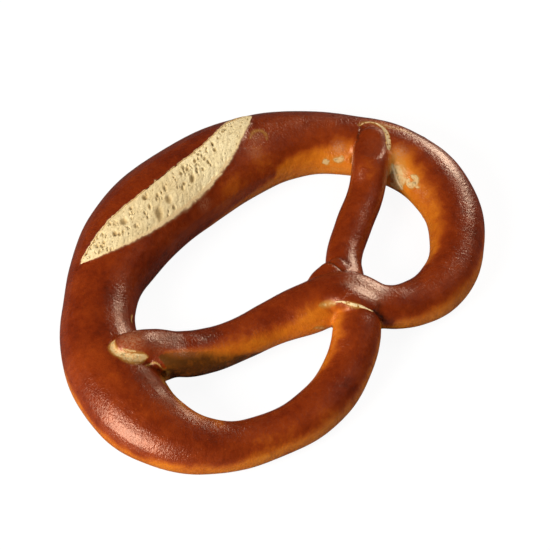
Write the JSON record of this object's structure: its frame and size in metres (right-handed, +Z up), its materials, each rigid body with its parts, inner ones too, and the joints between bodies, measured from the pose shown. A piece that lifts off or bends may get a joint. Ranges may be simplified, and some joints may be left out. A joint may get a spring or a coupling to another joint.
{
  "type": "giant pretzel",
  "caption": "Soft lye pretzel of giant size, a single rope of baked dough with slim crossed arms fused to the ring, and a split that shows pale crumb along the belly",
  "frame": {"origin": "middle of the bounding box in plan, on the flat base that lies on the table", "axes": "+X to the right seen from the belly, across both lobes (longest extent); +Y from the belly towards the lobes; +Z up (shortest extent)"},
  "size_m": [0.287, 0.2048, 0.0394],
  "materials": {
    "pretzel": "deep red-brown satin lye crust, golden towards the table, with matt cream crumb in the split"
  },
  "bodies": {
    "root": {"pretzel": "pretzel"}
  },
  "joints": []
}
